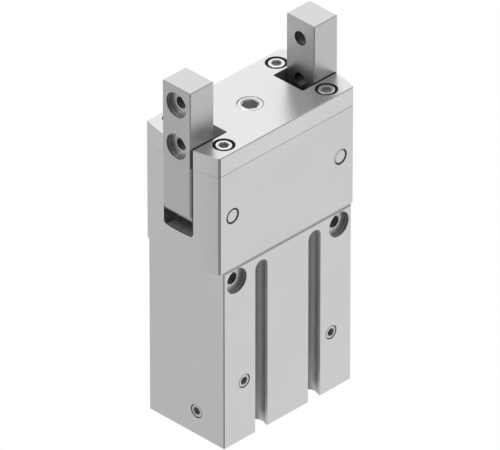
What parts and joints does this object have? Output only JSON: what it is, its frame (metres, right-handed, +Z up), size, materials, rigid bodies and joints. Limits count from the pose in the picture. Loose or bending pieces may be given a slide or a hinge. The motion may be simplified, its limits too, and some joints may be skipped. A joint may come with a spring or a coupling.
{
  "type": "radial gripper",
  "caption": "Pneumatic radial gripper: a piston in a tall rectangular housing swings opposed jaws outward by a quarter turn; sleeve-centred mounting holes, sensor slots.",
  "frame": {"origin": "middle of the housing's base", "axes": "+Z up towards the jaws, X across the two jaws, -Y out of the front face with the mounting holes seen in the picture"},
  "size_m": [0.0658, 0.0336, 0.1305],
  "materials": {
    "housing_metal": "satin, colourless anodised wrought aluminium with a fine machined grain",
    "cover_metal": "satin, colourless anodised wrought aluminium, face milled",
    "cap_metal": "turned aluminium",
    "jaw_steel": "fine ground, nickel-plated steel",
    "screw_steel": "bright steel",
    "pin_steel": "ground hardened steel",
    "spring_steel": "dark phosphated spring steel",
    "rod_chrome": "hard chromed and polished",
    "bronze": "sintered bronze, oiled",
    "rubber": "black seal rubber",
    "buffer_plastic": "polyurethane buffer",
    "guide_plastic": "filled fluoropolymer guide ring",
    "magnet": "plastic-bonded ferrite ring magnet"
  },
  "bodies": {
    "housing": {"housing": "housing_metal", "cover_plate": "cover_metal", "cover_screws": "screw_steel", "centre_plug": "screw_steel", "cover_dowels": "pin_steel", "front_plug_screws": "screw_steel", "end_plug_screws": "screw_steel", "channel_balls": "pin_steel", "end_cap": "cap_metal", "end_cap_seal": "rubber", "retaining_ring": "spring_steel", "buffer_rings": "buffer_plastic", "rod_seal": "rubber", "rod_seal_washer": "pin_steel", "rod_bush": "bronze", "pivot_pin_right": "pin_steel", "pivot_pin_left": "pin_steel"},
    "piston": {"piston": "cap_metal", "piston_seals": "rubber", "piston_guide_ring": "guide_plastic", "piston_magnet": "magnet", "piston_screw": "screw_steel", "piston_rod": "rod_chrome", "crosshead": "jaw_steel", "crosshead_screw": "screw_steel"},
    "jaw_right": {"jaw_right": "jaw_steel", "jaw_bush_right": "bronze", "crank_pin_right": "pin_steel", "crank_roller_right": "pin_steel"},
    "jaw_left": {"jaw_left": "jaw_steel", "jaw_bush_left": "bronze", "crank_pin_left": "pin_steel", "crank_roller_left": "pin_steel"}
  },
  "joints": [
    {"name": "piston_slide", "type": "slide", "parent": "housing", "child": "piston", "axis": [0, 0, 1], "range_m": [0, 0.01414]},
    {"name": "jaw_right_swing", "type": "hinge", "parent": "housing", "child": "jaw_right", "pos_m": [0.0242, 0, 0.08585], "axis": [0, 1, 0], "range_deg": [0, 90]},
    {"name": "jaw_left_swing", "type": "hinge", "parent": "housing", "child": "jaw_left", "pos_m": [-0.0242, 0, 0.08585], "axis": [0, -1, 0], "range_deg": [0, 90]}
  ],
  "couplings": [
    {"joint": "jaw_right_swing", "follows": "piston_slide", "rad_per_m": 111.07},
    {"joint": "jaw_left_swing", "follows": "piston_slide", "rad_per_m": 111.07}
  ]
}
